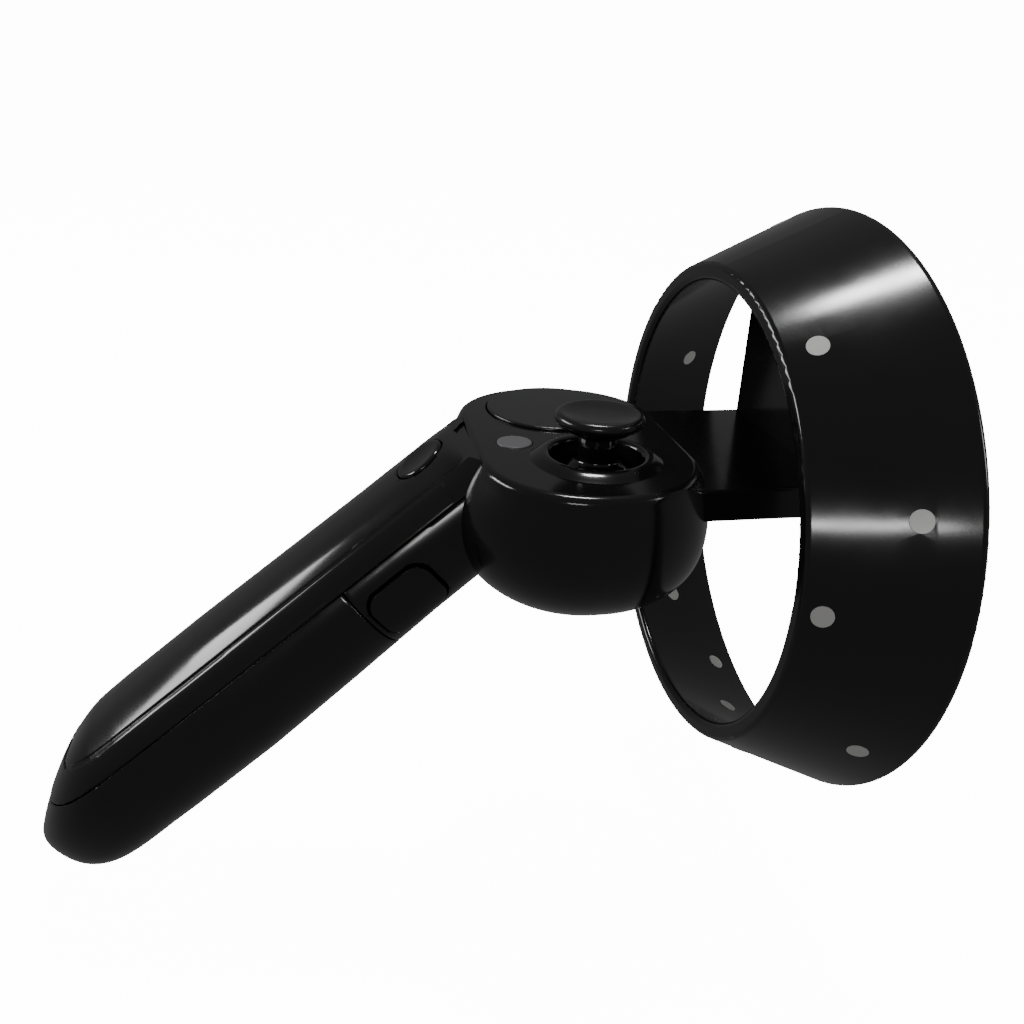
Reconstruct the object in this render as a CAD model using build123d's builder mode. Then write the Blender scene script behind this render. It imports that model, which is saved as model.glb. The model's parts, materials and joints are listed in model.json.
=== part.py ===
from build123d import *
from math import asin, cos, radians, sin, sqrt
import os

os.makedirs("parts", exist_ok=True)

# A one-hand motion controller, in millimetres.
# Origin: centre of the grip. +X forward, through the tracking ring. +Y left. +Z up from the face.

# ---- Driving dimensions ----
ring_near_x = 91.0          # plane of the small rim
ring_width = 24.3
ring_axis_z = 33.5
ring_near_r = 46.9          # outer radius of the small rim
ring_far_r = 58.1           # large rim before it is rounded, 57.3 after
ring_wall = 3.8
ring_skin = 1.4             # each of the two skins; the lights lie between them
rim_rounding = 1.15

handle_tilt = 39.3          # grip axis below the horizontal
wall = 1.5                  # handle skins
band_low = 6.3              # the side band lies between these two heights above the grip axis
band_high = 10.0
cover_start = -32.0         # front edge of the battery cover, along the grip axis

face_z = 48.7               # flat top of the head
plate_thickness = 2.5
bowl_mid_x = 64.9
bowl_mid_z = 36.2           # height of the widest section
bowl_depth = 20.4
bowl_half_x = 24.2
bowl_half_y = 31.3
bowl_lean = 0.1             # forward shift of the lower sections per millimetre down
bowl_wall = 2.2

pad_x, pad_y, pad_r = 65.0, 15.4, 13.6
stick_x, stick_y, stick_z = 66.2, -13.0, 40.0       # pivot of the thumbstick
well_r = 8.4
collar_r = 11.9
collar_rise = 1.2
menu_x, menu_y, menu_r = 53.1, -3.7, 3.3
board_top = 34.3

bracket_low = 39.6
bracket_high = 45.7
bracket_half_y = 22.5
flange_x = 108.5
flange_thickness = 5.5

trigger_pivot_x, trigger_pivot_z = 83.0, 33.3
trigger_half_y = 9.0
trigger_low, trigger_high = 20.5, 35.0
trigger_bay_start = 74.8      # the opening runs this far back, to clear the pulled trigger

battery_r, battery_length = 7.1, 50.5
battery_height = -1.3
bay_front, bay_rear = -24.6, 28.2
system_s, system_r = -56.0, 5.0
grip_pin_x, grip_pin_s = 11.6, -35.2

plate_low = face_z - plate_thickness
ring_far_x = ring_near_x + ring_width
ring_slope = (ring_far_r - ring_near_r) / ring_width

# The grip frame: local X to the right, local Y up out of the grip's top, local Z to the tip.
tip_dir = (-cos(radians(handle_tilt)), 0, -sin(radians(handle_tilt)))
grip = Plane(origin=(0, 0, 0), x_dir=(0, -1, 0), z_dir=tip_dir)


def on_grip(right, up, along):
    """A location in the grip frame."""
    return grip.location * Location((right, up, along))


def finish(part, label):
    """Label a finished piece and write it."""
    part.label = label
    export_step(part, f"parts/{label}.step")


def ring_r(x, depth=0.0):
    """Radius of the ring's cone at x, a depth under its outer surface."""
    return ring_near_r + ring_slope * (x - ring_near_x) - depth


# ---- Outer shapes that several pieces share ----
# Grip sections: place along the grip, half width, lowest and highest height.
grip_sections = [
    (-68.0, 15.4, -11.2, 11.9),
    (-41.0, 15.8, -11.9, 11.9),
    (-20.0, 16.4, -13.0, 12.1),
    (0.0, 16.9, -13.9, 12.3),
    (20.0, 16.9, -14.0, 12.2),
]
nose_start, nose_end = 26.0, 52.3      # the grip runs out to a blunt wedge between these
nose_steps = (0.0, 0.2, 0.4, 0.56, 0.7, 0.8, 0.88, 0.94, 0.98)
nose_half, nose_low, nose_high = 16.8, -13.9, 12.0
last_hollow = 42.0                     # the grip is solid beyond this place
outline_power = 2.5                    # 2 is an ellipse, more is squarer

for step in nose_steps:
    nose_width = nose_half * (1 - step**2.6) ** 0.6
    nose_bottom = nose_low * (1 - step**5) ** 0.75
    nose_top = nose_high * (1 - step**1.6)
    grip_sections.append((nose_start + step * (nose_end - nose_start), nose_width, nose_bottom, nose_top))


def signed_power(value, power):
    """A power of the size of a value that keeps its sign."""
    return abs(value) ** power * (1 if value > 0 else -1)


def grip_outline(half, low, high):
    """Points round a rounded oval between two heights."""
    points = []
    for step in range(24):
        a = radians(15 * step)
        right = half * signed_power(cos(a), 2 / outline_power)
        up = (low + high) / 2 + (high - low) / 2 * signed_power(sin(a), 2 / outline_power)
        points.append((right, up))
    return points


def grip_body(inset=0.0):
    """The closed outer shape of the grip, or a smaller one for its hollow."""
    with BuildPart() as body:
        for along, half, low, high in grip_sections:
            if inset <= 0 or along < last_hollow:
                with BuildSketch(grip.offset(along)):
                    with BuildLine():
                        Spline(grip_outline(half - inset, low + inset, high - inset), periodic=True)
                    make_face()
        loft(ruled=True)
    return body.part


def bowl_body(inset=0.0, top=face_z):
    """The closed outer shape of the head up to a height, or a smaller one for its hollow."""
    depth = bowl_depth - inset
    rise = top - bowl_mid_z
    heights = [rise, rise * 0.5, 0.0]
    heights += [-depth * sin(radians(angle)) for angle in (24, 44, 60, 73)]
    with BuildPart() as body:
        for height in heights:
            level = sqrt(1 - (height / depth) ** 2)
            half_x = (bowl_half_x - inset) * level
            half_y = (bowl_half_y - inset) * (level if height < 0 else 1.0)
            with BuildSketch(Plane.XY.offset(bowl_mid_z + height)):
                with Locations((bowl_mid_x - bowl_lean * min(height, 0), 0)):
                    RectangleRounded(2 * half_x, 2 * half_y, 0.95 * half_x)
        loft()
    return body.part


def ring_band(outer_depth, inner_depth, rim_gap=0.0, rounding=0.0):
    """A turned band between two depths under the ring's outer surface."""
    near, far = ring_near_x + rim_gap, ring_far_x - rim_gap
    with BuildPart() as band:
        with BuildSketch(Plane.XZ) as profile:
            with BuildLine():
                Polyline(
                    (near, ring_axis_z + ring_r(near, outer_depth)),
                    (far, ring_axis_z + ring_r(far, outer_depth)),
                    (far, ring_axis_z + ring_r(far, inner_depth)),
                    (near, ring_axis_z + ring_r(near, inner_depth)),
                    close=True,
                )
            make_face()
            if rounding:
                outer = outer_depth == 0
                corners = profile.vertices().sort_by(Axis.Y)
                near_pair = corners.group_by(Axis.X)[0].sort_by(Axis.Y)
                far_pair = corners.group_by(Axis.X)[-1].sort_by(Axis.Y)
                pick = -1 if outer else 0
                fillet([near_pair[pick], far_pair[pick]], rounding)
        revolve(axis=Axis((0, 0, ring_axis_z), (1, 0, 0)))
    return band.part


bowl_outer = bowl_body()
bowl_inner = bowl_body(bowl_wall, plate_low + 1)
grip_outer = grip_body()
grip_inner = grip_body(wall)


# ---- Tracking ring ----
# Light places: (distance from the small rim, angle up from the right-hand side), outside and inside.
outer_lights = [(5.5, 53.6), (3.6, 1.6), (6.0, -58.0), (5.5, 132.0), (3.6, 178.0), (6.0, 238.0),
                (15.4, 19.9), (16.4, -29.9), (18.0, 106.0), (15.4, 160.0), (16.4, 209.0), (18.0, 272.0)]
inner_lights = [(15.0, 160.0), (11.0, 232.0), (18.0, 253.0), (14.0, 272.0),
                (11.0, -30.0), (16.0, 14.0), (11.0, 48.0)]
lens_r = 1.9
lens_thickness = 1.0
cone_angle = asin(ring_slope / sqrt(1 + ring_slope**2))


def light_plane(from_rim, angle, depth, outward=True):
    """A plane on the ring at a depth under its outer surface, facing out or in."""
    x = ring_near_x + from_rim
    radius = ring_r(x, depth)
    a = radians(angle)
    side = 1 if outward else -1
    normal = (-side * sin(cone_angle), -side * cos(a) * cos(cone_angle), side * sin(a) * cos(cone_angle))
    return Plane(origin=(x, -radius * cos(a), ring_axis_z + radius * sin(a)), z_dir=normal)


outer_planes = [light_plane(x, angle, lens_thickness) for x, angle in outer_lights]
inner_planes = [light_plane(x, angle, ring_wall - lens_thickness, False) for x, angle in inner_lights]

with BuildPart() as ring_outer_shell:
    add(ring_band(0, ring_wall / 2, rounding=rim_rounding))
    add(ring_band(ring_skin, ring_wall / 2, rim_gap=1.6), mode=Mode.SUBTRACT)
    for plane in outer_planes:
        with Locations(plane):
            Cylinder(lens_r, 2 * lens_thickness, mode=Mode.SUBTRACT)
finish(ring_outer_shell.part, "ring_outer_shell")

with BuildPart() as ring_inner_shell:
    add(ring_band(ring_wall / 2, ring_wall, rounding=rim_rounding))
    add(ring_band(ring_wall / 2, ring_wall - ring_skin, rim_gap=1.6), mode=Mode.SUBTRACT)
    for plane in inner_planes:
        with Locations(plane):
            Cylinder(lens_r, 2 * lens_thickness, mode=Mode.SUBTRACT)
finish(ring_inner_shell.part, "ring_inner_shell")

with BuildPart() as led_strip:
    add(ring_band(ring_wall / 2 - 0.2, ring_wall / 2 + 0.2, rim_gap=2.4))
finish(led_strip.part, "led_strip")

with BuildPart() as outer_led_lenses:
    for plane in outer_planes:
        with Locations(plane):
            Cylinder(lens_r - 0.05, lens_thickness, align=(Align.CENTER, Align.CENTER, Align.MIN))
finish(outer_led_lenses.part, "outer_led_lenses")

with BuildPart() as inner_led_lenses:
    for plane in inner_planes:
        with Locations(plane):
            Cylinder(lens_r - 0.05, lens_thickness, align=(Align.CENTER, Align.CENTER, Align.MIN))
finish(inner_led_lenses.part, "inner_led_lenses")

# ---- Bracket that carries the ring ----
tongue_start = 79.9
tongue_half_y = 8.5
tongue_low, tongue_high = 41.2, 44.2
bracket_screw_x = tongue_start + 1.7
bracket_screw_y = 5.9
flex_slot = 1.2
flex_half_y = 4.0
flange_back = flange_x + flange_thickness
flange_mid = flange_x + flange_thickness / 2
flex_z = bracket_low + 2.2
flex_width = 7.0

with BuildPart() as ring_bore:
    with BuildSketch(Plane.XZ):
        with BuildLine():
            Polyline(
                (80, ring_axis_z),
                (130, ring_axis_z),
                (130, ring_axis_z + ring_r(130, ring_wall)),
                (80, ring_axis_z + ring_r(80, ring_wall)),
                close=True,
            )
        make_face()
    revolve(axis=Axis((0, 0, ring_axis_z), (1, 0, 0)))

with BuildPart() as ring_bracket:
    with BuildSketch(Plane.XZ) as bracket_side:
        with BuildLine():
            Polyline(
                (76, bracket_low),
                (flange_back, bracket_low),
                (flange_back, 92),
                (flange_x, 92),
                (flange_x, bracket_high),
                (76, bracket_high),
                close=True,
            )
        make_face()
        elbow = bracket_side.vertices().group_by(Axis.X)
        fillet(elbow[-1].sort_by(Axis.Y)[0], 8.0)
        fillet(elbow[-2].sort_by(Axis.Y)[0], 4.0)
    extrude(amount=bracket_half_y, both=True)
    fillet(ring_bracket.faces().filter_by(Axis.Y).edges().filter_by(
        lambda edge: edge.center().X > 80 and edge.center().Z < 91), 0.6)
    add(ring_bore.part, mode=Mode.INTERSECT)
    add(bowl_outer, mode=Mode.SUBTRACT)
    with Locations(((tongue_start + 92) / 2, 0, (tongue_low + tongue_high) / 2)):
        Box(92 - tongue_start, 2 * tongue_half_y, tongue_high - tongue_low)
    with Locations((bracket_screw_x, bracket_screw_y, 42), (bracket_screw_x, -bracket_screw_y, 42)):
        Cylinder(1.0, 8, mode=Mode.SUBTRACT)
    with Locations((tongue_start - 1, 0, flex_z)):
        Box(flange_mid + 0.6 - tongue_start + 1, 2 * flex_half_y, flex_slot,
            align=(Align.MIN, Align.CENTER, Align.MIN), mode=Mode.SUBTRACT)
    with Locations((flange_mid, 0, flex_z)):
        Box(flex_slot, 2 * flex_half_y, 60, align=(Align.CENTER, Align.CENTER, Align.MIN), mode=Mode.SUBTRACT)
finish(ring_bracket.part, "ring_bracket")

with BuildPart() as ring_flex:
    with Locations((tongue_start, 0, flex_z + 0.45)):
        Box(flange_mid - tongue_start + 0.15, flex_width, 0.3, align=(Align.MIN, Align.CENTER, Align.MIN))
    with Locations((flange_mid, 0, flex_z + 0.45)):
        Box(0.3, flex_width, 40, align=(Align.CENTER, Align.CENTER, Align.MIN))
finish(ring_flex.part, "ring_flex")

with BuildPart() as bracket_screws:
    with Locations((bracket_screw_x, bracket_screw_y, 38.2), (bracket_screw_x, -bracket_screw_y, 38.2)):
        Cylinder(0.9, 6.0, align=(Align.CENTER, Align.CENTER, Align.MIN))
    with Locations((bracket_screw_x, bracket_screw_y, 44.2), (bracket_screw_x, -bracket_screw_y, 44.2)):
        Cylinder(1.3, 1.0, align=(Align.CENTER, Align.CENTER, Align.MIN))
finish(bracket_screws.part, "bracket_screws")

# ---- Head ----
boss_x, boss_y = 13.0, 19.0
board_x = 62.0

with BuildPart() as head_shell:
    add(bowl_outer)
    add(bowl_inner, mode=Mode.SUBTRACT)
    with Locations((60, 0, plate_low)):
        Box(120, 120, 40, align=(Align.CENTER, Align.CENTER, Align.MIN), mode=Mode.SUBTRACT)
    with BuildPart(mode=Mode.PRIVATE) as inside:
        with Locations(*[(board_x + i * boss_x, j * boss_y, 14) for i in (-1, 1) for j in (-1, 1)]):
            Cylinder(2.4, board_top - 1.2 - 14, align=(Align.CENTER, Align.CENTER, Align.MIN))
        with Locations((board_x, 0, 14)):
            Box(9, 10, 7, align=(Align.CENTER, Align.CENTER, Align.MIN))
        with Locations(*[(trigger_pivot_x + 1.0, side * (trigger_half_y + 1.6), 32.5) for side in (-1, 1)]):
            Box(10.8, 2.0, 7.5)
        with Locations((tongue_start + 4, 0, tongue_low)):
            Box(8, 2 * tongue_half_y + 1, 3.8, align=(Align.CENTER, Align.CENTER, Align.MAX))
        add(bowl_body(1.0), mode=Mode.INTERSECT)
    add(inside.part)
    with Locations((board_x, 0, 26.2)):
        Cylinder(5.55, 14.4, rotation=(90, 0, 0), mode=Mode.SUBTRACT)
    with Locations((trigger_bay_start, 0, (trigger_low + trigger_high - 0.4) / 2)):
        Box(30, 2 * trigger_half_y + 0.7, trigger_high - trigger_low + 1.2,
            align=(Align.MIN, Align.CENTER, Align.CENTER), mode=Mode.SUBTRACT)
    with Locations((trigger_pivot_x, 0, trigger_pivot_z)):
        Cylinder(1.0, 2 * trigger_half_y + 5.2, rotation=(90, 0, 0), mode=Mode.SUBTRACT)
    with Locations((90, 0, (tongue_low + tongue_high) / 2)):
        Box(20, 2 * tongue_half_y, tongue_high - tongue_low, mode=Mode.SUBTRACT)
    with Locations((bracket_screw_x, bracket_screw_y, 40), (bracket_screw_x, -bracket_screw_y, 40)):
        Cylinder(0.95, 3.8, mode=Mode.SUBTRACT)
    with Locations(on_grip(0, -1, -62)):
        Cylinder(5.5, 30, mode=Mode.SUBTRACT)
finish(head_shell.part, "head_shell")

with BuildPart() as face_plate:
    add(bowl_outer)
    with Locations((60, 0, plate_low)):
        Box(120, 120, 60, align=(Align.CENTER, Align.CENTER, Align.MAX), mode=Mode.SUBTRACT)
    fillet(face_plate.faces().sort_by(Axis.Z)[-1].edges(), 1.5)
    with Locations((pad_x, pad_y, plate_low)):
        Cylinder(pad_r + 0.35, 8, mode=Mode.SUBTRACT)
    with Locations((stick_x, stick_y, plate_low)):
        Cylinder(well_r + 1.0, 8, mode=Mode.SUBTRACT)
    with Locations((menu_x, menu_y, plate_low)):
        Cylinder(menu_r + 0.15, 8, mode=Mode.SUBTRACT)
finish(face_plate.part, "face_plate")

with BuildPart() as stick_collar:
    with BuildSketch(Plane.XZ.offset(-stick_y)) as collar_profile:
        with BuildLine():
            lip_top = face_z + collar_rise
            Polyline((stick_x + well_r, lip_top - 0.6), (stick_x + well_r, plate_low + 0.2),
                     (stick_x + well_r + 1.0, plate_low + 0.2), (stick_x + well_r + 1.0, face_z),
                     (stick_x + collar_r, face_z))
            Spline((stick_x + collar_r, face_z), (stick_x + well_r + 1.9, lip_top - 0.22),
                   (stick_x + well_r + 0.6, lip_top), (stick_x + well_r, lip_top - 0.6))
        make_face()
    revolve(axis=Axis((stick_x, stick_y, 0), (0, 0, 1)))
finish(stick_collar.part, "stick_collar")

with BuildPart() as main_board:
    with BuildSketch(Plane.XY.offset(board_top - 1.2)):
        with Locations((board_x, 0)):
            RectangleRounded(32, 44, 9)
    extrude(amount=1.2)
finish(main_board.part, "main_board")

with BuildPart() as haptic_motor:
    with Locations((board_x, 0, 26.2)):
        Cylinder(5.5, 14, rotation=(90, 0, 0))
    with Locations((board_x, -8.5, 26.2)):
        Cylinder(1.0, 3.0, rotation=(90, 0, 0))
finish(haptic_motor.part, "haptic_motor")

# ---- Thumbstick: housing, two-axis gimbal, click ----
box_half = 8.0
frame_half = 6.2
window_half = 4.6
dome_r = 9.2
stem_r = 3.5
cap_r = 8.0
cap_rim_z = 56.4
shaft_r = 1.5

with BuildPart() as stick_housing:
    with Locations((stick_x, stick_y, board_top)):
        Box(2 * box_half, 2 * box_half, 7.4, align=(Align.CENTER, Align.CENTER, Align.MIN))
    with Locations((stick_x, stick_y, board_top + 1)):
        Box(2 * box_half - 2, 2 * box_half - 2, 8, align=(Align.CENTER, Align.CENTER, Align.MIN),
            mode=Mode.SUBTRACT)
    with Locations((stick_x, stick_y, stick_z)):
        Cylinder(1.05, 2 * box_half + 2, rotation=(90, 0, 0), mode=Mode.SUBTRACT)
finish(stick_housing.part, "stick_housing")

with BuildPart() as stick_sensors:
    with Locations((stick_x, stick_y + box_half + 0.9, stick_z - 1.5),
                   (stick_x - box_half - 0.9, stick_y, stick_z - 1.5)):
        Box(1.8, 1.8, 6)
    with Locations((stick_x, stick_y, board_top + 1.0)):
        Box(4.2, 4.2, 0.9, align=(Align.CENTER, Align.CENTER, Align.MIN))
finish(stick_sensors.part, "stick_sensors")

with BuildPart() as gimbal_yoke:
    with Locations((stick_x, stick_y, stick_z)):
        Box(2 * frame_half, 2 * frame_half, 2.6)
        Cylinder(1.0, 2 * box_half, rotation=(90, 0, 0))
        Box(2 * window_half, 2 * window_half, 4, mode=Mode.SUBTRACT)
        Cylinder(0.95, 2 * frame_half + 1, rotation=(0, 90, 0), mode=Mode.SUBTRACT)
finish(gimbal_yoke.part, "gimbal_yoke")

with BuildPart() as gimbal_cross:
    with Locations((stick_x, stick_y, stick_z)):
        Cylinder(3.9, 3.0)
        Cylinder(0.9, 2 * frame_half, rotation=(0, 90, 0))
        Cylinder(shaft_r + 0.05, 6, mode=Mode.SUBTRACT)
finish(gimbal_cross.part, "gimbal_cross")

with BuildPart() as stick_shaft:
    with BuildSketch(Plane.XZ.offset(-stick_y)):
        with BuildLine():
            rim = radians(52)
            thin = dome_r - 0.9
            Polyline((stick_x, stick_z - 3.0), (stick_x + shaft_r, stick_z - 3.0),
                     (stick_x + shaft_r, stick_z + sqrt(thin**2 - shaft_r**2)))
            RadiusArc((stick_x + shaft_r, stick_z + sqrt(thin**2 - shaft_r**2)),
                      (stick_x + thin * sin(rim), stick_z + thin * cos(rim)), thin)
            Line((stick_x + thin * sin(rim), stick_z + thin * cos(rim)),
                 (stick_x + dome_r * sin(rim), stick_z + dome_r * cos(rim)))
            RadiusArc((stick_x + dome_r * sin(rim), stick_z + dome_r * cos(rim)),
                      (stick_x + stem_r, stick_z + sqrt(dome_r**2 - stem_r**2)), -dome_r)
            Polyline((stick_x + stem_r, stick_z + sqrt(dome_r**2 - stem_r**2)),
                     (stick_x + stem_r, cap_rim_z - 3.4), (stick_x, cap_rim_z - 3.4),
                     (stick_x, stick_z - 3.0))
        make_face()
    revolve(axis=Axis((stick_x, stick_y, 0), (0, 0, 1)))
    fillet(stick_shaft.edges().filter_by(GeomType.CIRCLE).filter_by(
        lambda edge: abs(edge.radius - stem_r) < 0.01).sort_by(Axis.Z)[0], 0.9)
finish(stick_shaft.part, "stick_shaft")

with BuildPart() as stick_cap:
    with BuildSketch(Plane.XZ.offset(-stick_y)):
        with BuildLine():
            Polyline((stick_x, cap_rim_z - 3.4), (stick_x + stem_r, cap_rim_z - 3.4),
                     (stick_x + stem_r + 0.5, cap_rim_z - 2.7), (stick_x + cap_r - 0.5, cap_rim_z - 0.6))
            Spline((stick_x + cap_r - 0.5, cap_rim_z - 0.6), (stick_x + cap_r, cap_rim_z),
                   (stick_x + cap_r - 0.7, cap_rim_z + 0.6), (stick_x + 4.6, cap_rim_z + 1.15),
                   (stick_x, cap_rim_z + 1.3))
            Line((stick_x, cap_rim_z + 1.3), (stick_x, cap_rim_z - 3.4))
        make_face()
    revolve(axis=Axis((stick_x, stick_y, 0), (0, 0, 1)))
finish(stick_cap.part, "stick_cap")

# ---- Touchpad and menu button ----
pad_top = face_z + 0.6
carrier_top = 42.0
travel_gap = 0.4

with BuildPart() as switch_carrier:
    with Locations((pad_x, pad_y, carrier_top)):
        Box(33, 22, 1.4, align=(Align.CENTER, Align.CENTER, Align.MAX))
    with Locations((menu_x, -2.2, carrier_top)):
        Box(8, 14, 1.4, align=(Align.CENTER, Align.CENTER, Align.MAX))
    with Locations(*[(pad_x + i * 15.2, pad_y + j * 5, carrier_top) for i in (-1, 1) for j in (-1, 1)]):
        Cylinder(1.2, plate_low - carrier_top, align=(Align.CENTER, Align.CENTER, Align.MIN))
    with Locations((pad_x - 10, pad_y, board_top), (pad_x + 10, pad_y, board_top)):
        Cylinder(1.6, carrier_top - board_top, align=(Align.CENTER, Align.CENTER, Align.MIN))
    add(bowl_body(bowl_wall + 0.2), mode=Mode.INTERSECT)
    with Locations((tongue_start - 0.4, 0, carrier_top)):
        Box(20, 2 * tongue_half_y + 1.4, 6, align=(Align.MIN, Align.CENTER, Align.CENTER), mode=Mode.SUBTRACT)
finish(switch_carrier.part, "switch_carrier")

with BuildPart() as pad_switch:
    with Locations((pad_x, pad_y, carrier_top)):
        Box(6, 6, 1.6, align=(Align.CENTER, Align.CENTER, Align.MIN))
        Cylinder(1.7, 2.2, align=(Align.CENTER, Align.CENTER, Align.MIN))
finish(pad_switch.part, "pad_switch")

with BuildPart() as touchpad_board:
    with Locations((pad_x, pad_y, 46.4)):
        Cylinder(12.4, 1.0, align=(Align.CENTER, Align.CENTER, Align.MIN))
    with Locations((pad_x, pad_y, carrier_top + 2.2 + travel_gap)):
        Cylinder(2.5, 46.4 - carrier_top - 2.2 - travel_gap, align=(Align.CENTER, Align.CENTER, Align.MIN))
finish(touchpad_board.part, "touchpad_board")

with BuildPart() as touchpad_disc:
    with Locations((pad_x, pad_y, 47.4)):
        Cylinder(pad_r, pad_top - 47.4, align=(Align.CENTER, Align.CENTER, Align.MIN))
    fillet(touchpad_disc.faces().sort_by(Axis.Z)[-1].edges(), 0.4)
finish(touchpad_disc.part, "touchpad_disc")

with BuildPart() as menu_switch:
    with Locations((menu_x, menu_y, carrier_top)):
        Box(4.5, 4.5, 1.4, align=(Align.CENTER, Align.CENTER, Align.MIN))
finish(menu_switch.part, "menu_switch")

with BuildPart() as menu_button:
    with Locations((menu_x, menu_y, carrier_top + 1.4 + travel_gap)):
        Cylinder(1.2, 2.0, align=(Align.CENTER, Align.CENTER, Align.MIN))
    with Locations((menu_x, menu_y, 45.1)):
        Cylinder(menu_r + 0.8, 0.8, align=(Align.CENTER, Align.CENTER, Align.MIN))
        Cylinder(menu_r, face_z + 0.25 - 45.1, align=(Align.CENTER, Align.CENTER, Align.MIN))
    fillet(menu_button.faces().sort_by(Axis.Z)[-1].edges(), 0.3)
finish(menu_button.part, "menu_button")

# ---- Index trigger ----
with BuildPart() as trigger:
    add(bowl_body(-1.0))
    add(bowl_body(1.6), mode=Mode.SUBTRACT)
    with Locations((90, 0, (trigger_low + trigger_high) / 2)):
        Box(24, 2 * trigger_half_y, trigger_high - trigger_low, mode=Mode.INTERSECT)
    side_edges = trigger.edges().filter_by(lambda edge: abs(abs(edge.center().Y) - trigger_half_y) < 0.01)
    fillet(side_edges.filter_by(GeomType.LINE, reverse=True).sort_by(Axis.X)[-2:], 0.6)
    with Locations((trigger_pivot_x, 0, trigger_pivot_z)):
        Cylinder(2.3, 11, rotation=(90, 0, 0))
    with Locations((trigger_pivot_x + 2.9, 0, trigger_pivot_z - 0.4)):
        Box(5.2, 10, 3.2)
    with Locations((trigger_pivot_x, 0, trigger_pivot_z)):
        Cylinder(1.05, 40, rotation=(90, 0, 0), mode=Mode.SUBTRACT)
finish(trigger.part, "trigger")

with BuildPart() as trigger_pin:
    with Locations((trigger_pivot_x, 0, trigger_pivot_z)):
        Cylinder(1.0, 2 * trigger_half_y + 5.2, rotation=(90, 0, 0))
finish(trigger_pin.part, "trigger_pin")

with BuildPart() as trigger_spring:
    with Locations((trigger_pivot_x, 6.9, trigger_pivot_z)):
        Cylinder(1.8, 2.2, rotation=(90, 0, 0))
        Cylinder(1.0, 3.0, rotation=(90, 0, 0), mode=Mode.SUBTRACT)
finish(trigger_spring.part, "trigger_spring")

with BuildPart() as trigger_sensor:
    with Locations((75.5, 0, board_top - 1.2)):
        Box(4, 8, 2.5, align=(Align.CENTER, Align.CENTER, Align.MAX))
finish(trigger_sensor.part, "trigger_sensor")


# ---- Handle ----
def grip_slice(body, up_low, up_high, along_start, along_end):
    """The part of a grip shape between two heights and two places, clear of the head."""
    with BuildPart() as piece:
        add(body)
        with Locations(on_grip(0, (up_low + up_high) / 2, (along_start + along_end) / 2)):
            Box(60, up_high - up_low, along_end - along_start, mode=Mode.INTERSECT)
        with Locations((0, 0, face_z)):
            Box(300, 300, 60, align=(Align.CENTER, Align.CENTER, Align.MIN), mode=Mode.SUBTRACT)
        add(bowl_outer, mode=Mode.SUBTRACT)
    return piece.part


floor_top = band_low + 2.0
board_level = band_low + 1.0
screw_places = [(side * 8, along) for side in (-1, 1) for along in (-30, 21)]
grip_start, grip_end = -66.0, 60.0
grip_window = Plane(origin=on_grip(9, -2.5, -40).position, x_dir=tip_dir, z_dir=(0, -1, 0))

with BuildPart() as handle_frame:
    add(grip_slice(grip_outer, band_low, band_high, grip_start, grip_end))
    add(grip_slice(grip_inner, floor_top, band_high + 1, grip_start - 4, grip_end), mode=Mode.SUBTRACT)
    with Locations(on_grip(8.6, 3.2, -43)):
        Box(2.0, 7.0, 4.0)
    for right, along in screw_places:
        with Locations(on_grip(right, band_low, along) * Location((0, 0, 0), (90, 0, 0))):
            Cylinder(1.0, 12, mode=Mode.SUBTRACT)
            Cylinder(1.9, 2.4, mode=Mode.SUBTRACT)
        with Locations(on_grip(right, floor_top, along) * Location((0, 0, 0), (-90, 0, 0))):
            Cylinder(2.3, 8, align=(Align.CENTER, Align.CENTER, Align.MIN), mode=Mode.SUBTRACT)
    with Locations(on_grip(0, board_level + 2, -19)):
        Box(9.3, 4, 84.3, mode=Mode.SUBTRACT)
finish(handle_frame.part, "handle_frame")

with BuildPart() as handle_top_cover:
    add(grip_slice(grip_outer, band_high, 20, grip_start, grip_end))
    add(grip_slice(grip_inner, band_high - 1, 20, grip_start - 4, grip_end), mode=Mode.SUBTRACT)
    with BuildPart(mode=Mode.PRIVATE) as posts:
        for right, along in screw_places:
            with Locations(on_grip(right, floor_top, along) * Location((0, 0, 0), (-90, 0, 0))):
                Cylinder(2.2, 6, align=(Align.CENTER, Align.CENTER, Align.MIN))
        add(grip_body(0.5), mode=Mode.INTERSECT)
    add(posts.part)
    for right, along in screw_places:
        with Locations(on_grip(right, floor_top, along) * Location((0, 0, 0), (-90, 0, 0))):
            Cylinder(0.8, 5, mode=Mode.SUBTRACT)
    with Locations(on_grip(0, 12, system_s) * Location((0, 0, 0), (90, 0, 0))):
        Cylinder(system_r + 0.2, 6, mode=Mode.SUBTRACT)
finish(handle_top_cover.part, "handle_top_cover")

with BuildPart() as frame_screws:
    for right, along in screw_places:
        with Locations(on_grip(right, band_low + 1.2, along) * Location((0, 0, 0), (-90, 0, 0))):
            Cylinder(0.8, 3.2, align=(Align.CENTER, Align.CENTER, Align.MIN))
            Cylinder(1.7, 0.9, align=(Align.CENTER, Align.CENTER, Align.MAX))
finish(frame_screws.part, "frame_screws")


def lower_skin(along_start, along_end):
    """The skin of the grip under the side band, between two places along it."""
    with BuildPart() as skin:
        add(grip_slice(grip_outer, -20, band_low, along_start, along_end))
        add(grip_slice(grip_inner, -20, band_low + 1, along_start - 4, along_end), mode=Mode.SUBTRACT)
    return skin.part


def grip_window_block(gap, depth):
    """The rounded outline of the grab button, cut right through the right-hand skin."""
    with BuildPart() as block:
        with BuildSketch(grip_window):
            RectangleRounded(13 + 2 * gap, 10.2 + 2 * gap, 3.2 + gap)
        extrude(amount=depth)
    return block.part


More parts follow.
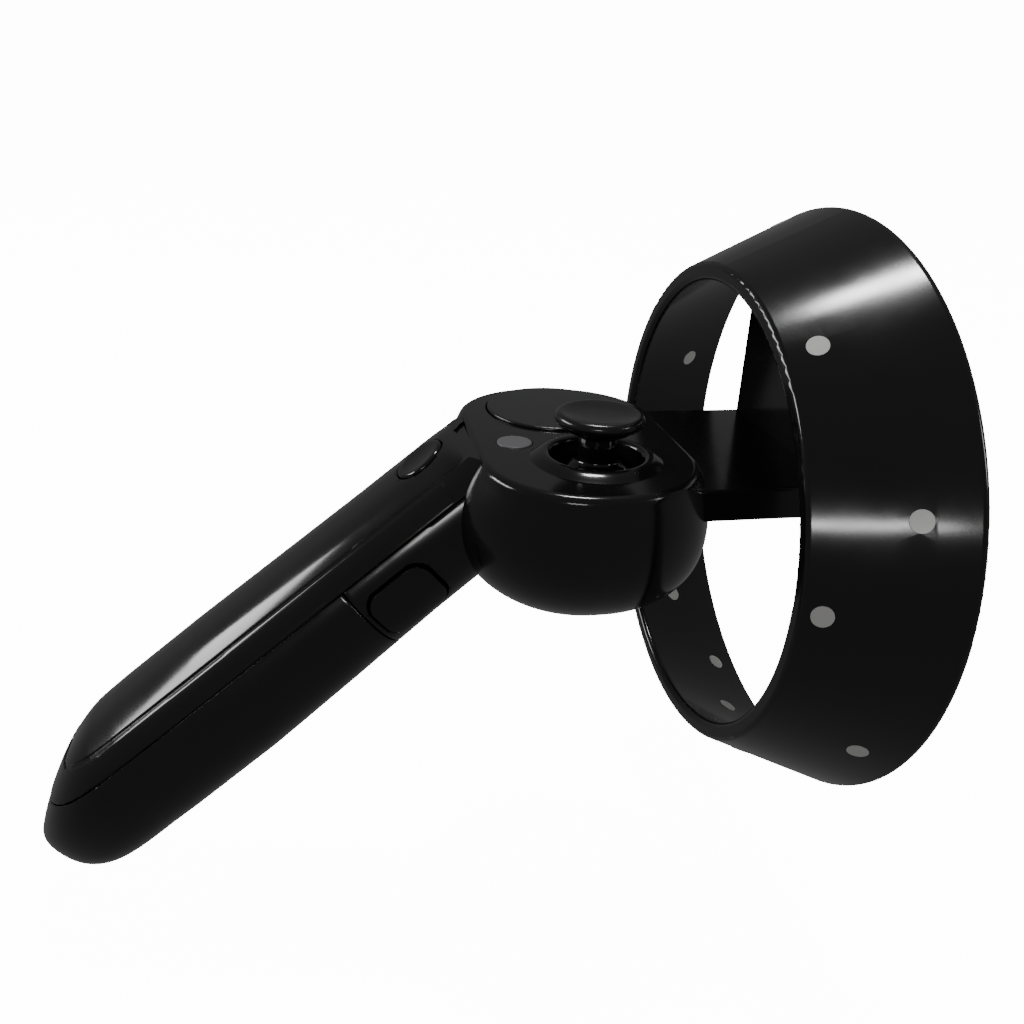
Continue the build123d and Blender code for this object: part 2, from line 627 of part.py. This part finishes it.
with BuildPart() as handle_lower_shell:
    add(lower_skin(grip_start, cover_start))
    add(grip_window_block(0.5, 14), mode=Mode.SUBTRACT)
finish(handle_lower_shell.part, "handle_lower_shell")

with BuildPart() as battery_cover:
    add(lower_skin(cover_start + 0.15, grip_end))
    with Locations(on_grip(0, band_low + 0.9, 10)):
        Box(60, 2.0, 130, mode=Mode.SUBTRACT)
finish(battery_cover.part, "battery_cover")

with BuildPart() as grip_button:
    add(grip_body(-0.5))
    add(grip_body(2.4), mode=Mode.SUBTRACT)
    add(grip_window_block(0, 14), mode=Mode.INTERSECT)
    with BuildPart(mode=Mode.PRIVATE) as lug:
        with Locations(on_grip(grip_pin_x, -2.5, grip_pin_s) * Location((0, 0, 0), (90, 0, 0))):
            Cylinder(1.7, 4)
        with Locations(on_grip(grip_pin_x + 1.2, -2.5, grip_pin_s)):
            Box(2.6, 4, 3.0)
    add(lug.part)
    with Locations(on_grip(grip_pin_x, -2.5, grip_pin_s) * Location((0, 0, 0), (90, 0, 0))):
        Cylinder(0.85, 12, mode=Mode.SUBTRACT)
finish(grip_button.part, "grip_button")

with BuildPart() as grip_pin:
    with Locations(on_grip(grip_pin_x, band_low, grip_pin_s) * Location((0, 0, 0), (90, 0, 0))):
        Cylinder(0.8, 12, align=(Align.CENTER, Align.CENTER, Align.MIN))
finish(grip_pin.part, "grip_pin")

with BuildPart() as grip_spring:
    with Locations(on_grip(grip_pin_x, 0.8, grip_pin_s) * Location((0, 0, 0), (90, 0, 0))):
        Cylinder(1.3, 2.0)
        Cylinder(0.8, 3.0, mode=Mode.SUBTRACT)
finish(grip_spring.part, "grip_spring")

with BuildPart() as grip_switch:
    with Locations(on_grip(10.3, 1.5, -43)):
        Box(1.4, 3.4, 3.4)
finish(grip_switch.part, "grip_switch")

# ---- System button ----
with BuildPart() as handle_board:
    with Locations(on_grip(0, board_level + 0.4, -19)):
        Box(9, 0.8, 84)
finish(handle_board.part, "handle_board")

with BuildPart() as system_switch:
    with Locations(on_grip(0, board_level + 0.8, system_s) * Location((0, 0, 0), (-90, 0, 0))):
        Cylinder(2.2, 0.9, align=(Align.CENTER, Align.CENTER, Align.MIN))
finish(system_switch.part, "system_switch")

with BuildPart() as system_button:
    with Locations(on_grip(0, board_level + 2.0, system_s) * Location((0, 0, 0), (-90, 0, 0))):
        Cylinder(system_r + 0.8, 0.5, align=(Align.CENTER, Align.CENTER, Align.MIN))
        Cylinder(system_r, 2.8, align=(Align.CENTER, Align.CENTER, Align.MIN))
finish(system_button.part, "system_button")

# ---- Batteries, their tray and contacts ----
battery_places = [(-7.2, bay_front, 1), (7.2, bay_rear, -1)]
bay_wall = 1.4
contact = 0.4

contact_places = (bay_front - contact / 2, bay_rear + contact / 2)

with BuildPart() as battery_tray:
    with BuildSketch(grip.offset(bay_front - contact - bay_wall)):
        with BuildLine():
            Spline(grip_outline(14.2, -10.6, 10.1), periodic=True)
        make_face()
    extrude(amount=bay_rear - bay_front + 2 * (contact + bay_wall))
    with Locations(on_grip(0, band_low + 5, 0)):
        Box(60, 10, 120, mode=Mode.SUBTRACT)
    with Locations(on_grip(0, battery_height - 10, (bay_front + bay_rear) / 2)):
        Box(60, 20, bay_rear - bay_front + 2 * contact, mode=Mode.SUBTRACT)
    with Locations(*[on_grip(right, battery_height, (bay_front + bay_rear) / 2)
                     for right, _, _ in battery_places]):
        Cylinder(battery_r + 0.1, bay_rear - bay_front + 2 * contact, mode=Mode.SUBTRACT)
    for end in contact_places:
        with Locations(on_grip(0, -0.5, end)):
            Box(22, 8, contact, mode=Mode.SUBTRACT)
finish(battery_tray.part, "battery_tray")

for name, (right, end, way) in zip(("battery_left", "battery_right"), battery_places):
    with BuildPart() as battery:
        with Locations(on_grip(right, battery_height, end + way * (1.2 + (battery_length - 1.2) / 2))):
            Cylinder(battery_r, battery_length - 1.2)
        with Locations(on_grip(right, battery_height, end + way * 0.6)):
            Cylinder(2.6, 1.2)
    finish(battery.part, name)

with BuildPart() as battery_contacts:
    for end in contact_places:
        with Locations(on_grip(0, -0.5, end)):
            Box(22, 8, contact)
finish(battery_contacts.part, "battery_contacts")

spring_length = bay_rear - bay_front - battery_length
with BuildPart() as battery_springs:
    for right, end, way in battery_places:
        middle = end + way * (battery_length + spring_length / 2)
        with Locations(on_grip(right, battery_height, middle)):
            Cylinder(3.2, spring_length)
            Cylinder(2.4, spring_length + 1, mode=Mode.SUBTRACT)
finish(battery_springs.part, "battery_springs")
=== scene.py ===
import bpy
import json
from math import cos, exp, log, pi, radians, sin
from mathutils import Matrix, Vector


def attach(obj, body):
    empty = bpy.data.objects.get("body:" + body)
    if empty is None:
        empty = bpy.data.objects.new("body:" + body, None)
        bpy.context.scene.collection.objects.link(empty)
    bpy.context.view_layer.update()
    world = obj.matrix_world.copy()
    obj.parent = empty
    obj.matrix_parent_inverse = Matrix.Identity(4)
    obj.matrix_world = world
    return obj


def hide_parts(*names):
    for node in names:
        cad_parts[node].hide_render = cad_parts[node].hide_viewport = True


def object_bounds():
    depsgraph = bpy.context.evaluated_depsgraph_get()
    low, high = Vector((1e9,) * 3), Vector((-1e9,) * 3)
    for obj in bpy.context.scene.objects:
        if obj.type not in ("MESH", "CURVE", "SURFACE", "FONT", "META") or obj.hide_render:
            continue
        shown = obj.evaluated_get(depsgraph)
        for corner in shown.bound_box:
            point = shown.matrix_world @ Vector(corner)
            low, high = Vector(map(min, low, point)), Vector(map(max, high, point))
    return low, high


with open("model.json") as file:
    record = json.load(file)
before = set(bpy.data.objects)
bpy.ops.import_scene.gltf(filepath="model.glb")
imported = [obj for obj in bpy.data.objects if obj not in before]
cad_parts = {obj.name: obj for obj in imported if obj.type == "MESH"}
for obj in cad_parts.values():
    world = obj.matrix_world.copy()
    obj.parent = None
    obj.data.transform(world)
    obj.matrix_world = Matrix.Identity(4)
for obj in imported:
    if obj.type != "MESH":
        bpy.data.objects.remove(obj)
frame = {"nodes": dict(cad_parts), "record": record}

cad_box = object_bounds()

# ---- Camera, floor and light ----
# The view looks over the holder's right shoulder, a little from behind and down on the face.
# The floor is pale paper under even light. It isn't seen in the gloss, so the shell stays black.
MM = 0.001
eye = Vector((18.6, -164.7, 108.2)) * MM
yaw, pitch, roll = radians(12.156), radians(24.069), radians(2.742)
forward = Vector((sin(yaw) * cos(pitch), cos(yaw) * cos(pitch), -sin(pitch)))
level_right = Vector((cos(yaw), -sin(yaw), 0))
level_up = level_right.cross(forward)
right = level_right * cos(roll) + level_up * sin(roll)
up = level_up * cos(roll) - level_right * sin(roll)

bpy.ops.object.camera_add()
camera = bpy.context.object
camera.matrix_world = Matrix((
    (right.x, up.x, -forward.x, eye.x),
    (right.y, up.y, -forward.y, eye.y),
    (right.z, up.z, -forward.z, eye.z),
    (0, 0, 0, 1),
))
camera.data.lens = 33.25
camera.data.sensor_width = 36
camera.data.clip_start = 0.01
bpy.context.scene.camera = camera


def add_node(tree, kind, settings=(), inputs=(), links=()):
    """Adds a node, sets its properties and sockets, and links sockets to other nodes' outputs."""
    node = tree.nodes.new(kind)
    for name, value in dict(settings).items():
        setattr(node, name, value)
    for name, value in dict(inputs).items():
        node.inputs[name].default_value = value
    for name, source in dict(links).items():
        tree.links.new(source, node.inputs[name])
    return node


def linear(hex_colour):
    """An sRGB hex colour as linear red, green, blue and alpha."""
    channels = [int(hex_colour[i:i + 2], 16) / 255 for i in (0, 2, 4)]
    return [c / 12.92 if c <= 0.04045 else ((c + 0.055) / 1.055) ** 2.4 for c in channels] + [1.0]


floor_drop = 12 * MM
white_glow, room_glow = 14.0, 0.16
bpy.ops.mesh.primitive_plane_add(size=8, location=(0, 0, cad_box[0][2] - floor_drop))
floor = bpy.context.object
floor.name = "studio_floor"
floor.visible_glossy = False
floor.visible_diffuse = False
paper = bpy.data.materials.new("matt_white_paper")
paper.use_nodes = True
paper_shader = paper.node_tree.nodes["Principled BSDF"]
paper_shader.inputs["Base Color"].default_value = linear("F4F4F4")
paper_shader.inputs["Roughness"].default_value = 0.9
paper_shader.inputs["Emission Color"].default_value = linear("FFFFFF")
paper_shader.inputs["Emission Strength"].default_value = white_glow
floor.data.materials.append(paper)

# The room is white to the eye and dark in the object's own gloss.
world = bpy.data.worlds.new("studio")
world.use_nodes = True
bpy.context.scene.world = world
sky = world.node_tree
background = sky.nodes["Background"]
seen = add_node(sky, "ShaderNodeLightPath")
room = add_node(sky, "ShaderNodeMix", {"data_type": "FLOAT"}, {2: room_glow, 3: white_glow},
                {0: seen.outputs["Is Camera Ray"]})
sky.links.new(room.outputs[0], background.inputs["Strength"])
background.inputs["Color"].default_value = linear("FFFFFF")


def soft_light(name, direction, distance, width, height, power, aim=(60, 0, 25)):
    """A soft box at a distance from the object, turned towards a place on it."""
    bpy.ops.object.light_add(type="AREA")
    lamp = bpy.context.object
    lamp.name = name
    lamp.data.shape = "RECTANGLE"
    lamp.data.size, lamp.data.size_y = width, height
    lamp.data.energy = power
    lamp.location = Vector(aim) * MM + Vector(direction).normalized() * distance
    lamp.rotation_mode = "QUATERNION"
    lamp.rotation_quaternion = Vector(direction).to_track_quat("Z", "Y")


soft_light("top_box", (0.05, 0.20, 0.98), distance=0.9, width=0.20, height=0.08, power=4.5)
soft_light("back_strip", (-0.84, 0.34, 0.38), distance=1.0, width=0.60, height=0.20, power=5.0,
           aim=(0, 0, 0))
soft_light("front_box", (-0.30, -0.90, 0.22), distance=1.1, width=0.30, height=0.05, power=1.6)
soft_light("front_rim", (0.80, -0.45, 0.40), distance=1.0, width=0.12, height=0.30, power=1.4)

# ---- Ring, bracket and head: glossy shells ----
# Injection-moulded black ABS from a polished tool, so the gloss is high and only very slightly
# uneven. Handling leaves a faint haze in patches, and the mould a low ripple.
noise_low, noise_high = 0.3, 0.7


def moulded(name, colour, roughness, grain_mm, grain_depth_mm, haze_mm=22.0, haze=0.04, ior=1.5):
    """Moulded plastic: fine surface texture at its real size, and gloss that varies in patches."""
    material = bpy.data.materials.new(name)
    material.use_nodes = True
    tree = material.node_tree
    shader = tree.nodes["Principled BSDF"]
    shader.inputs["Base Color"].default_value = linear(colour)
    shader.inputs["IOR"].default_value = ior
    place = add_node(tree, "ShaderNodeTexCoord").outputs["Object"]
    patches = add_node(tree, "ShaderNodeTexNoise", (),
                       {"Scale": 1 / (haze_mm * MM), "Detail": 4.0}, {"Vector": place})
    gloss = add_node(tree, "ShaderNodeMapRange", (),
                     {"From Min": noise_low, "From Max": noise_high,
                      "To Min": roughness - haze, "To Max": roughness + haze},
                     {"Value": patches.outputs["Fac"]})
    tree.links.new(gloss.outputs["Result"], shader.inputs["Roughness"])
    grain = add_node(tree, "ShaderNodeTexNoise", (), {"Scale": 1 / (grain_mm * MM), "Detail": 3.0},
                     {"Vector": place})
    bump = add_node(tree, "ShaderNodeBump", (), {"Strength": 1.0, "Distance": grain_depth_mm * MM},
                    {"Height": grain.outputs["Fac"]})
    tree.links.new(bump.outputs["Normal"], shader.inputs["Normal"])
    return material


polished_black_abs = moulded("polished_black_abs", "101011", roughness=0.15, grain_mm=7.0,
                             grain_depth_mm=0.010)
slot_of_node = {row["node"]: row["material_slot"] for row in frame["record"]["subparts"]}


def paint(material, *names):
    """Gives CAD nodes one material."""
    for name in names:
        mesh = frame["nodes"][name].data
        mesh.materials.clear()
        mesh.materials.append(material)


paint(polished_black_abs, "ring_outer_shell", "ring_inner_shell", "ring_bracket", "head_shell",
      "trigger", "face_plate")

# ---- Ring lenses ----
# Milky polycarbonate light guides pressed into the ring's two skins. The infrared lights behind
# them can't be seen. They scatter light a little under a smooth face, and look pale grey.
milky_polycarbonate = moulded("milky_polycarbonate", "B9B9B6", roughness=0.32, grain_mm=3.0,
                              grain_depth_mm=0.006, haze_mm=6.0, haze=0.05, ior=1.58)
paint(milky_polycarbonate, "outer_led_lenses", "inner_led_lenses")

# ---- Handle skins ----
# The handle is closed by a top cover, a front lower shell and the sliding battery cover, all
# 1.5 mm black ABS. Their edges are broken by a small radius, which is what shows at the seams.
tilt = radians(39.3)
along_grip = Vector((-cos(tilt), 0, -sin(tilt)))
out_of_grip = Vector((-sin(tilt), 0, cos(tilt)))
right_of_grip = Vector((0, -1, 0))
grip_sizes = [(-68.0, 15.4, -11.2, 11.9), (-41.0, 15.8, -11.9, 11.9), (-20.0, 16.4, -13.0, 12.1),
              (0.0, 16.9, -13.9, 12.3), (20.0, 16.9, -14.0, 12.2), (26.0, 16.8, -13.9, 12.0)]
nose_start, nose_end = 26.0, 52.3
nose_half, nose_low, nose_high = 16.8, -13.9, 12.0
head_end = -72.0
skin_thickness = 1.5
oval_power = 0.8
blank_rows, blank_columns = 180, 128
body_share, tip_crowding = 0.6, 2.2
weld_distance = 0.001
band_low, band_high = 6.3, 10.0
cover_start, cover_gap = -32.0, 0.15
shoulder_z, shoulder_softness, shoulder_reach = 48.1, 0.6, 20


def grip_size(along):
    """Half width, lowest and highest height of the grip at a place along it, in millimetres."""
    if along < nose_start:
        for (a, *first), (b, *second) in zip(grip_sizes, grip_sizes[1:]):
            if along <= b:
                t = (along - a) / (b - a)
                return [p + (q - p) * t for p, q in zip(first, second)]
    step = min((along - nose_start) / (nose_end - nose_start), 1.0)
    return [nose_half * (1 - step**2.6) ** 0.6,
            nose_low * (1 - step**5) ** 0.75,
            nose_high * (1 - step**1.6)]


def on_grip(across, height, along):
    """A place given in the grip's own directions, in millimetres, as a point in metres."""
    return (right_of_grip * across + out_of_grip * height + along_grip * along) * MM


def grip_point(along, turn, grow=0.0):
    """The point of the grip's rounded oval at a place along it and an angle round it."""
    half, low, high = (size + out for size, out in zip(grip_size(along), (grow, -grow, grow)))
    across = half * abs(cos(turn)) ** oval_power * (1 if cos(turn) > 0 else -1)
    rise = abs(sin(turn)) ** oval_power * (1 if sin(turn) > 0 else -1)
    height = (low + high) / 2 + (high - low) / 2 * rise
    return on_grip(across, height, along)


def ease_shoulder(piece):
    """Lays the head end of a cut skin down under the face, over a soft shoulder."""
    level, softness = shoulder_z * MM, shoulder_softness * MM
    for vertex in piece.data.vertices:
        over = (vertex.co.z - level) / softness
        if over > shoulder_reach:
            vertex.co.z = level
        elif over > -shoulder_reach:
            vertex.co.z -= softness * log(1 + exp(over))


def clear_selection():
    """Nothing is selected, so that the next operator acts on the new piece alone."""
    bpy.ops.object.select_all(action="DESELECT")


def grip_blank(name, grow=0.0):
    """The whole outer skin of the grip. A flat grid is wrapped round it by its formula, because
    an oval that changes along its length can't be drawn out of one ring by scaling."""
    clear_selection()
    bpy.ops.mesh.primitive_grid_add(x_subdivisions=blank_rows, y_subdivisions=blank_columns, size=1)
    blank = bpy.context.object
    blank.name = name
    for vertex in blank.data.vertices:
        run, turn = vertex.co.x + 0.5, 2 * pi * (vertex.co.y + 0.5)
        if run < body_share:
            along = head_end + (nose_start - head_end) * run / body_share
        else:
            left = 1 - (run - body_share) / (1 - body_share)
            along = nose_start + (nose_end - nose_start) * (1 - left**tip_crowding)
        vertex.co = grip_point(along, turn, grow)
    bpy.ops.object.mode_set(mode="EDIT")
    bpy.ops.mesh.select_all(action="SELECT")
    bpy.ops.mesh.remove_doubles(threshold=weld_distance * MM)
    bpy.ops.mesh.normals_make_consistent(inside=False)
    bpy.ops.object.mode_set(mode="OBJECT")
    return blank


def cut_away(piece, place, normal):
    """Cuts the piece with a plane and keeps the side that the normal points to."""
    bpy.context.view_layer.objects.active = piece
    bpy.ops.object.mode_set(mode="EDIT")
    bpy.ops.mesh.select_all(action="SELECT")
    bpy.ops.mesh.bisect(plane_co=place, plane_no=normal, clear_inner=True)
    bpy.ops.object.mode_set(mode="OBJECT")


def apply_modifier(piece, kind, **settings):
    """Adds a modifier, sets it and applies it."""
    bpy.context.view_layer.objects.active = piece
    modifier = piece.modifiers.new(kind.title(), kind)
    for name, value in settings.items():
        setattr(modifier, name, value)
    bpy.ops.object.modifier_apply(modifier=modifier.name)


def mark_open_edge(piece):
    """Names the open edge of a skin, so that only it is rounded over once the wall is closed."""
    group = piece.vertex_groups.new(name="open_edge")
    uses = {}
    for face in piece.data.polygons:
        for key in face.edge_keys:
            uses[key] = uses.get(key, 0) + 1
    open_vertices = [vertex for key, count in uses.items() if count == 1 for vertex in key]
    group.add(open_vertices, 1.0, "REPLACE")


def smooth(piece, angle=35):
    """Shades the piece smooth, except across corners sharper than the angle."""
    clear_selection()
    piece.select_set(True)
    bpy.context.view_layer.objects.active = piece
    bpy.ops.object.shade_smooth_by_angle(angle=radians(angle))


def cut_with(piece, tool, operation="DIFFERENCE"):
    """Cuts the piece with a solid, which is then thrown away."""
    apply_modifier(piece, "BOOLEAN", object=tool, operation=operation, solver="EXACT")
    bpy.data.objects.remove(tool)


def fit(piece, material, body, *nodes):
    """Finishes a new piece: its material, the body it rides on and the CAD nodes it stands for."""
    piece.data.materials.clear()
    piece.data.materials.append(material)
    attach(piece, body)
    if nodes:
        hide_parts(*nodes)


def put_at(piece, place, forwards, upwards):
    """Lays the X and Z of a piece made at the origin along two directions, and moves it."""
    sideways = upwards.cross(forwards)
    piece.matrix_world = Matrix((
        (forwards.x, sideways.x, upwards.x, place.x),
        (forwards.y, sideways.y, upwards.y, place.y),
        (forwards.z, sideways.z, upwards.z, place.z),
        (0, 0, 0, 1),
    ))
    clear_selection()
    piece.select_set(True)
    bpy.context.view_layer.objects.active = piece
    bpy.ops.object.transform_apply(location=True, rotation=True, scale=True)


edge_radius, sharp_corner = 0.3, 50
seam_gap = 0.1
system_along, system_hole_r = -56.0, 5.25
drill_height, drill_depth = 12, 9
grab_along, grab_height = -40.0, -2.5

# The top cover has a round hole for the system button.
top_cover = grip_blank("top_cover_skin")
cut_away(top_cover, on_grip(0, band_high + seam_gap, 0), out_of_grip)
ease_shoulder(top_cover)
apply_modifier(top_cover, "SOLIDIFY", thickness=skin_thickness * MM, offset=-1.0)
clear_selection()
bpy.ops.mesh.primitive_cylinder_add(vertices=64, radius=system_hole_r * MM, depth=drill_depth * MM)
drill = bpy.context.object
put_at(drill, on_grip(0, drill_height, system_along), along_grip, out_of_grip)
cut_with(top_cover, drill)
apply_modifier(top_cover, "BEVEL", width=edge_radius * MM, segments=3, limit_method="ANGLE",
               angle_limit=radians(sharp_corner), use_clamp_overlap=False)
smooth(top_cover)
fit(top_cover, polished_black_abs, "controller", "handle_top_cover")

# The front lower shell has a rounded window for the grab button.
lower_shell = grip_blank("lower_shell_skin")
cut_away(lower_shell, on_grip(0, band_low - seam_gap, 0), -out_of_grip)
cut_away(lower_shell, on_grip(0, 0, cover_start), -along_grip)
ease_shoulder(lower_shell)
apply_modifier(lower_shell, "SOLIDIFY", thickness=skin_thickness * MM, offset=-1.0)
window_length, window_width, window_corner = 14.0, 11.2, 3.7
window_depth, window_across = 14, 15
clear_selection()
bpy.ops.mesh.primitive_cube_add(size=1)
window = bpy.context.object
window.scale = (window_length * MM, window_width * MM, window_depth * MM)
bpy.ops.object.transform_apply(scale=True)
bpy.ops.object.mode_set(mode="EDIT")
bpy.ops.mesh.select_all(action="DESELECT")
bpy.ops.object.mode_set(mode="OBJECT")
for edge in window.data.edges:
    first, second = (window.data.vertices[i].co for i in edge.vertices)
    edge.select = abs(first.z - second.z) > 1 * MM
bpy.ops.object.mode_set(mode="EDIT")
bpy.ops.mesh.select_mode(type="EDGE")
bpy.ops.mesh.bevel(offset=window_corner * MM, segments=8)
bpy.ops.object.mode_set(mode="OBJECT")
put_at(window, on_grip(window_across, grab_height, grab_along), along_grip, right_of_grip)
cut_with(lower_shell, window)
apply_modifier(lower_shell, "BEVEL", width=edge_radius * MM, segments=3, limit_method="ANGLE",
               angle_limit=radians(sharp_corner), use_clamp_overlap=False)
smooth(lower_shell)
fit(lower_shell, polished_black_abs, "controller", "handle_lower_shell")

# The battery cover is the rest of the underside, out to the tip, and slides off along the grip.
battery_door = grip_blank("battery_cover_skin")
cut_away(battery_door, on_grip(0, band_low - seam_gap, 0), -out_of_grip)
cut_away(battery_door, on_grip(0, 0, cover_start + cover_gap), along_grip)
mark_open_edge(battery_door)
apply_modifier(battery_door, "SOLIDIFY", thickness=skin_thickness * MM, offset=-1.0)
apply_modifier(battery_door, "BEVEL", width=edge_radius * MM, segments=3, limit_method="VGROUP",
               vertex_group="open_edge", use_clamp_overlap=False)
smooth(battery_door)
fit(battery_door, polished_black_abs, "battery_cover", "battery_cover")

# ---- Side band ----
# A strip of black ABS let into the side of the handle frame, a hair proud of the covers, with its
# edges rounded over. It stops short of the head, and past its end the frame itself shows.
strip_proud, strip_inset, strip_end = 0.15, 0.15, -58.0
strip_thickness, strip_edge_radius = 0.6, 0.18
side_band = grip_blank("side_band_strip", strip_proud)
cut_away(side_band, on_grip(0, band_high - strip_inset, 0), -out_of_grip)
cut_away(side_band, on_grip(0, band_low + strip_inset, 0), out_of_grip)
cut_away(side_band, on_grip(0, 0, strip_end), along_grip)
apply_modifier(side_band, "SOLIDIFY", thickness=strip_thickness * MM, offset=-1.0)
apply_modifier(side_band, "BEVEL", width=strip_edge_radius * MM, segments=2, limit_method="ANGLE",
               angle_limit=radians(sharp_corner), use_clamp_overlap=False)
smooth(side_band)
fit(side_band, polished_black_abs, "controller")
paint(polished_black_abs, "handle_frame")

# ---- Grab and system buttons ----
# The grab button is a curved ABS key in the window of the lower shell, hinged on a steel pin.
# The system button is a round key with a softened rim, in the top cover.
key_edge, key_corner, key_weld = 0.3, 60, 0.002
system_profile = [(5.8, 9.3), (5.8, 9.8), (5.0, 9.8), (5.0, 11.7), (4.93, 11.9), (4.75, 12.05),
                  (4.5, 12.1), (3.6, 12.0), (2.2, 11.85), (0.6, 11.8)]


def eased_copy(node, name, edge_mm, body):
    """A CAD piece with its sharp edges broken: a merged copy takes the rounding."""
    piece = bpy.data.objects.new(name, frame["nodes"][node].data.copy())
    bpy.context.scene.collection.objects.link(piece)
    clear_selection()
    piece.select_set(True)
    bpy.context.view_layer.objects.active = piece
    bpy.ops.object.mode_set(mode="EDIT")
    bpy.ops.mesh.select_all(action="SELECT")
    bpy.ops.mesh.remove_doubles(threshold=key_weld * MM)
    bpy.ops.object.mode_set(mode="OBJECT")
    apply_modifier(piece, "BEVEL", width=edge_mm * MM, segments=3, limit_method="ANGLE",
                   angle_limit=radians(key_corner), use_clamp_overlap=True)
    smooth(piece, 40)
    fit(piece, polished_black_abs, body, node)


def turned(name, profile, segments=72):
    """A solid turned about its own Z: a disc is drawn up through each (radius, height) in turn."""
    clear_selection()
    radius, height = profile[0]
    bpy.ops.mesh.primitive_circle_add(vertices=segments, radius=radius * MM, fill_type="NGON",
                                      location=(0, 0, height * MM))
    piece = bpy.context.object
    piece.name = name
    bpy.ops.object.transform_apply(location=True)
    bpy.ops.object.mode_set(mode="EDIT")
    bpy.ops.mesh.select_mode(type="FACE")
    bpy.ops.mesh.select_all(action="SELECT")
    for (wide, low), (narrow, high) in zip(profile, profile[1:]):
        lift = (0, 0, (high - low) * MM)
        bpy.ops.mesh.extrude_region_move(TRANSFORM_OT_translate={"value": lift})
        bpy.ops.transform.resize(value=(narrow / wide, narrow / wide, 1))
    bpy.ops.mesh.select_all(action="SELECT")
    bpy.ops.mesh.normals_make_consistent(inside=False)
    bpy.ops.object.mode_set(mode="OBJECT")
    return piece


eased_copy("grip_button", "grab_key", key_edge, "grab")
system_key = turned("system_key", system_profile)
put_at(system_key, on_grip(0, 0, system_along), along_grip, out_of_grip)
smooth(system_key)
fit(system_key, polished_black_abs, "system", "system_button")

# ---- Thumbstick ----
# The cap is moulded rubber with a dished top and a rounded rim, pressed on the nylon shaft. The
# collar round its well is black ABS with a raised, rounded lip.
smooth_black_rubber = moulded("smooth_black_rubber", "141415", roughness=0.24, grain_mm=1.2,
                              grain_depth_mm=0.006, ior=1.52)
stick_place = Vector((66.2, -13.0, 0)) * MM
cap_profile = [(3.45, 53.0), (3.9, 53.35), (5.0, 53.85), (6.4, 54.55), (7.4, 55.3), (7.9, 56.0),
               (7.98, 56.5), (7.8, 57.0), (7.4, 57.35), (6.9, 57.42), (6.4, 57.3), (5.2, 56.95),
               (3.2, 56.72), (0.6, 56.65)]
cap = turned("thumb_cap", cap_profile)
put_at(cap, stick_place, Vector((1, 0, 0)), Vector((0, 0, 1)))
smooth(cap)
fit(cap, smooth_black_rubber, "stick_click", "stick_cap")
paint(polished_black_abs, "stick_collar", "stick_shaft")

# ---- Touchpad and menu button ----
# The touchpad is a satin-moulded disc over its sensing board. The menu button is a small grey key.
satin_black_abs = moulded("satin_black_abs", "18181A", roughness=0.22, grain_mm=0.8,
                          grain_depth_mm=0.006)
grey_menu_abs = moulded("grey_menu_abs", "5A5A5C", roughness=0.40, grain_mm=0.5,
                        grain_depth_mm=0.010)
paint(satin_black_abs, "touchpad_disc")
paint(grey_menu_abs, "menu_button")

# ---- Inside: boards, switches, batteries and fixings ----
# Everything under the skins, seen when the battery cover is off. Glass-fibre boards under green
# resist, nylon mouldings, steel pins and screws, nickel-plated springs and two foil-wrapped cells.
scratch_spread, scratch_draw = 0.08, 0.1


def plain_metal(name, colour, roughness, scratch_mm):
    """Bare or plated metal with fine scratches drawn out along one direction."""
    material = bpy.data.materials.new(name)
    material.use_nodes = True
    tree = material.node_tree
    shader = tree.nodes["Principled BSDF"]
    shader.inputs["Base Color"].default_value = linear(colour)
    shader.inputs["Metallic"].default_value = 1.0
    place = add_node(tree, "ShaderNodeTexCoord").outputs["Object"]
    drawn = add_node(tree, "ShaderNodeMapping", (), {"Scale": (scratch_draw, 1.0, 1.0)},
                     {"Vector": place})
    scratches = add_node(tree, "ShaderNodeTexNoise", (),
                         {"Scale": 1 / (scratch_mm * MM), "Detail": 4.0},
                         {"Vector": drawn.outputs["Vector"]})
    gloss = add_node(tree, "ShaderNodeMapRange", (),
                     {"From Min": noise_low, "From Max": noise_high,
                      "To Min": roughness - scratch_spread, "To Max": roughness + scratch_spread},
                     {"Value": scratches.outputs["Fac"]})
    tree.links.new(gloss.outputs["Result"], shader.inputs["Roughness"])
    return material


nylon = moulded("black_glass_filled_nylon", "1E1E20", roughness=0.55, grain_mm=0.4,
                grain_depth_mm=0.015)
resist = moulded("green_solder_resist", "123A22", roughness=0.30, grain_mm=1.0,
                 grain_depth_mm=0.006, haze_mm=4.0)
steel = plain_metal("ground_steel", "B4B4B6", roughness=0.32, scratch_mm=0.3)
nickel = plain_metal("nickel_plated_steel", "D2CEC6", roughness=0.20, scratch_mm=0.2)
cell_foil = plain_metal("printed_cell_foil", "4C5360", roughness=0.30, scratch_mm=0.8)
groups = {"circuit_board": resist, "inner_plastic": nylon, "steel": steel, "spring_steel": nickel,
          "battery_case": cell_foil}
for node, slot_name in slot_of_node.items():
    if slot_name in groups and node != "stick_shaft":
        paint(groups[slot_name], node)
